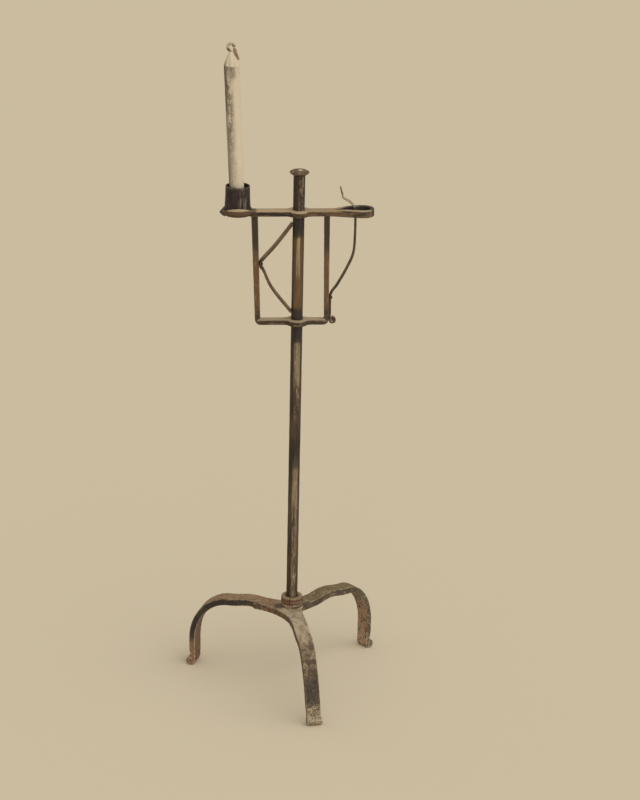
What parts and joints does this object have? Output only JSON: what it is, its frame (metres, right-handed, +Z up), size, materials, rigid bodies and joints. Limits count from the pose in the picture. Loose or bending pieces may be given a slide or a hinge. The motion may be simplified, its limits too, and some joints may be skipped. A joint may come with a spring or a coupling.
{
  "type": "standing candle holder",
  "caption": "Wrought-iron tripod light: a round shaft with a sliding, turning head that holds a candle in a socket and a splint in a sprung jaw.",
  "frame": {"origin": "on the floor, at the middle of the footprint's box; the shaft's axis stands at x = 9.8 mm, y = 23.2 mm", "axes": "+Z up along the shaft, +X along the crossbar towards the splint jaw, so the candle is towards -X and the front leg points to -Y"},
  "size_m": [0.2684, 0.2516, 0.8884],
  "materials": {
    "forged_iron": "forged, dark brown, worn bright on the edges",
    "olive_iron": "forged, thin olive-grey bloom over dark iron",
    "rusty_iron": "forged, red-brown rust",
    "sooty_iron": "rolled sheet, black with soot and wax",
    "wax": "hand-dipped wax, soft sheen, sooted",
    "wick": "twisted cotton cord, charred at the loop"
  },
  "bodies": {
    "base": {"leg_pair": "olive_iron", "right_leg": "olive_iron", "hub_washer": "rusty_iron", "collar": "rusty_iron"},
    "shaft": {"shaft": "forged_iron"},
    "head": {"crossbar": "olive_iron", "yoke": "rusty_iron", "friction_spring": "rusty_iron", "spring_rivet": "forged_iron", "candle_socket": "sooty_iron", "socket_rivet": "forged_iron", "jaw_rivet": "forged_iron"},
    "jaw": {"jaw": "rusty_iron"},
    "candle": {"candle": "wax", "wick": "wick"}
  },
  "joints": [
    {"name": "head_turn", "type": "hinge", "parent": "base", "child": "shaft", "pos_m": [0.00979, 0.02323, 0.11], "axis": [0, 0, 1], "continuous": true},
    {"name": "head_slide", "type": "slide", "parent": "shaft", "child": "head", "axis": [0, 0, 1], "range_m": [-0.389, 0.0438]},
    {"name": "jaw_flex", "type": "hinge", "parent": "head", "child": "jaw", "pos_m": [0.05289, 0.02323, 0.552], "axis": [0, -1, 0], "range_deg": [0, 6], "stiffness_Nm_per_rad": 6},
    {"name": "candle_lift", "type": "slide", "parent": "head", "child": "candle", "axis": [-0.0489, 0, 0.9988], "range_m": [0, 0.035]}
  ]
}
